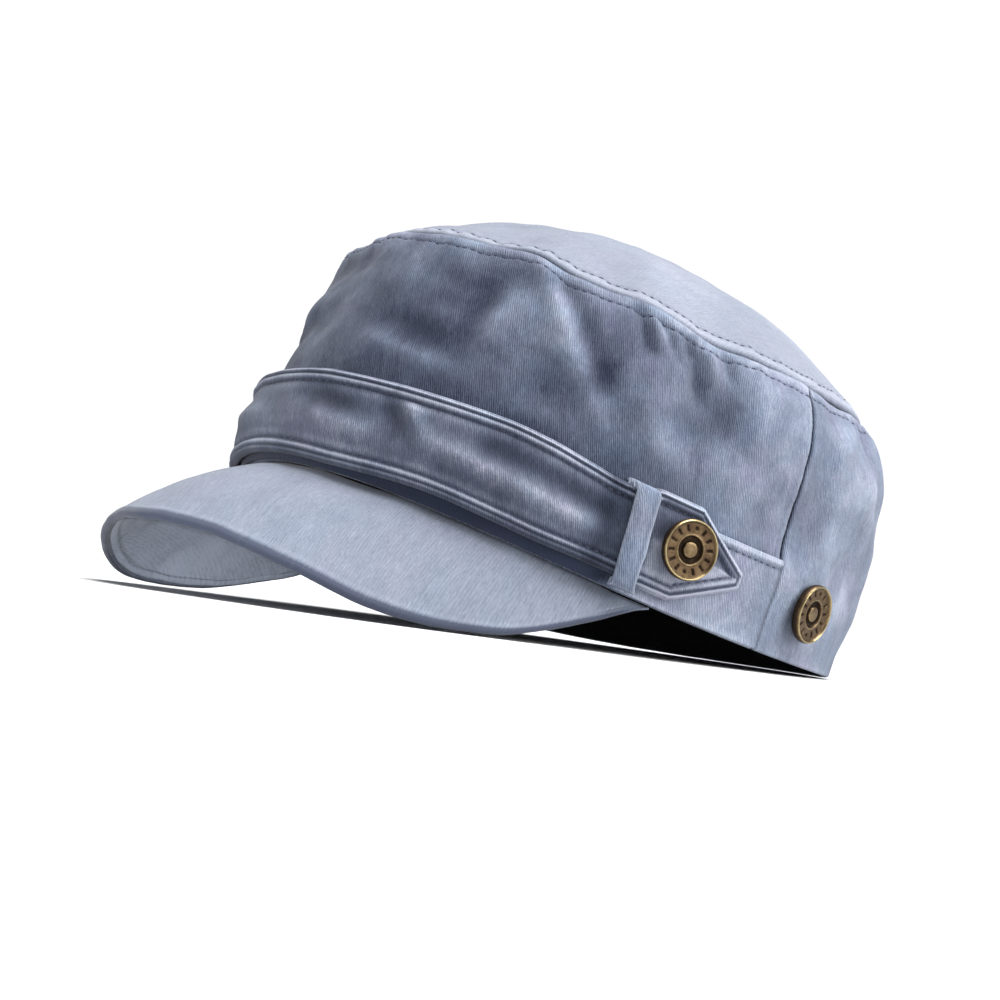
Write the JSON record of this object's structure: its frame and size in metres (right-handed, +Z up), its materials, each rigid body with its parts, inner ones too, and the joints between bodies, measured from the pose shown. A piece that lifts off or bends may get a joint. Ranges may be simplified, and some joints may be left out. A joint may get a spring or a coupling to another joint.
{
  "type": "denim peaked cap",
  "caption": "Soft denim cap with a domed top, curved peak, front strap held by loops and antique brass buttons.",
  "frame": {"origin": "on the surface that the cap rests on, under the middle of its outline seen from above", "axes": "+Y from the peak towards the back of the cap, +Z up, +X towards the wearer's left"},
  "size_m": [0.1836, 0.261, 0.1268],
  "materials": {
    "denim": "washed blue grey cotton denim twill, matt",
    "denim_peak": "washed denim twill over a stiffened peak, lighter and worn, matt",
    "denim_strap": "washed denim twill with raised stitched edges, matt",
    "brass": "antique brass, dark in the recesses and worn bright on the rims",
    "sweatband": "black woven cotton tape, matt"
  },
  "bodies": {
    "root": {"crown_front": "denim", "crown_back": "denim", "crown_top": "denim", "lower_band": "denim", "sweatband": "sweatband", "strap": "denim_strap", "peak": "denim_peak", "strap_loop_left": "denim", "strap_loop_right": "denim", "tab_button_left": "brass", "tab_button_right": "brass", "back_button_left": "brass", "back_button_right": "brass"}
  },
  "joints": []
}
